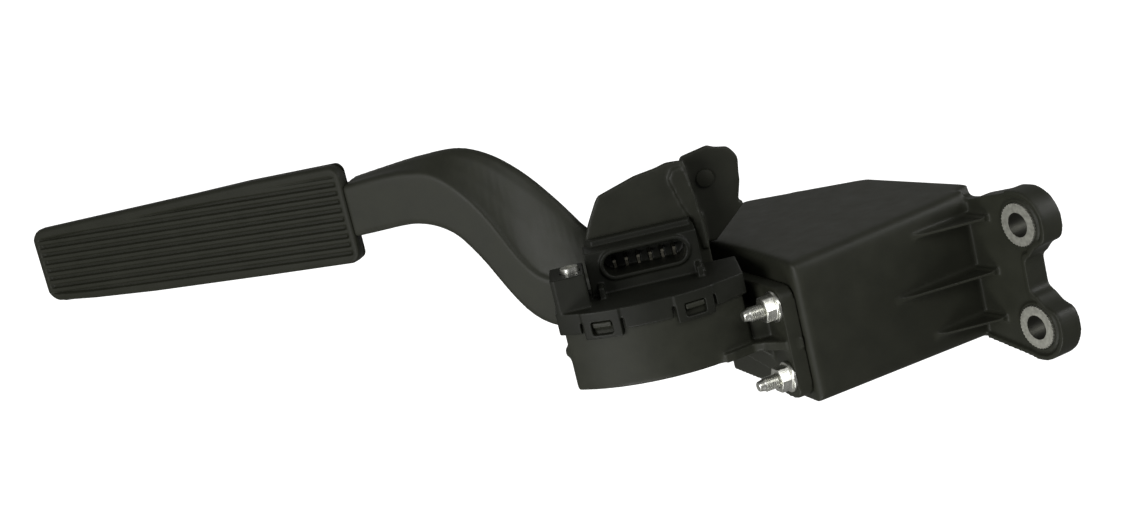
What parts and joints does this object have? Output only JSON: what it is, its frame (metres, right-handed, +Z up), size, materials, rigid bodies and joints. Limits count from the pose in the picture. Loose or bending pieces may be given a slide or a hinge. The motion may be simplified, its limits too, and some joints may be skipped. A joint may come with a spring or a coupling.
{
  "type": "accelerator pedal",
  "caption": "Electronic accelerator pedal: cranked plastic lever with a ribbed tread, hinged in a sensor box that is bolted to a hollow adapter bracket with steel-bushed ears.",
  "frame": {"origin": "midway between the two dash bolts, on the driver's-side face of their steel bushes", "axes": "+Y forward along the dash bolts, +X to the driver's right, +Z up"},
  "size_m": [0.1095, 0.2534, 0.312],
  "materials": {
    "black_nylon": "satin, fine mould texture",
    "tread_plastic": "satin",
    "seal_rubber": "matte",
    "natural_plastic": "satin",
    "friction_lining": "matte",
    "board_laminate": "satin",
    "track_ink": "matte",
    "terminal_brass": "plated",
    "zinc_steel": "zinc plated",
    "bush_steel": "dull, phosphated",
    "pin_steel": "ground",
    "spring_steel": "oiled"
  },
  "bodies": {
    "housing": {"adapter_bracket": "black_nylon", "dash_bush_left": "bush_steel", "dash_bush_right": "bush_steel", "flange_studs": "zinc_steel", "flange_nuts": "zinc_steel", "pedal_box": "black_nylon", "sensor_cover": "black_nylon", "cover_gasket": "seal_rubber", "cover_screw": "zinc_steel", "terminals": "terminal_brass", "sensor_board": "board_laminate", "resistor_tracks": "track_ink", "pivot_pin": "pin_steel", "pin_clip": "pin_steel", "friction_ring": "friction_lining", "wave_washer": "pin_steel", "idle_stop_pad": "seal_rubber", "full_stop_pad": "seal_rubber", "tower_cap": "black_nylon"},
    "pedal": {"pedal_arm": "black_nylon", "pedal_pad": "tread_plastic", "pivot_bush_left": "natural_plastic", "pivot_bush_right": "natural_plastic", "wiper_carrier": "natural_plastic", "wiper_contacts": "terminal_brass", "return_spring_outer": "spring_steel", "return_spring_inner": "spring_steel", "spring_sleeve": "natural_plastic"}
  },
  "joints": [
    {"name": "pedal_pivot", "type": "hinge", "parent": "housing", "child": "pedal", "pos_m": [-0.023, -0.0904, -0.0914], "axis": [1, 0, 0], "range_deg": [0, 18], "stiffness_Nm_per_rad": 7.6, "springref_deg": -16.62}
  ]
}
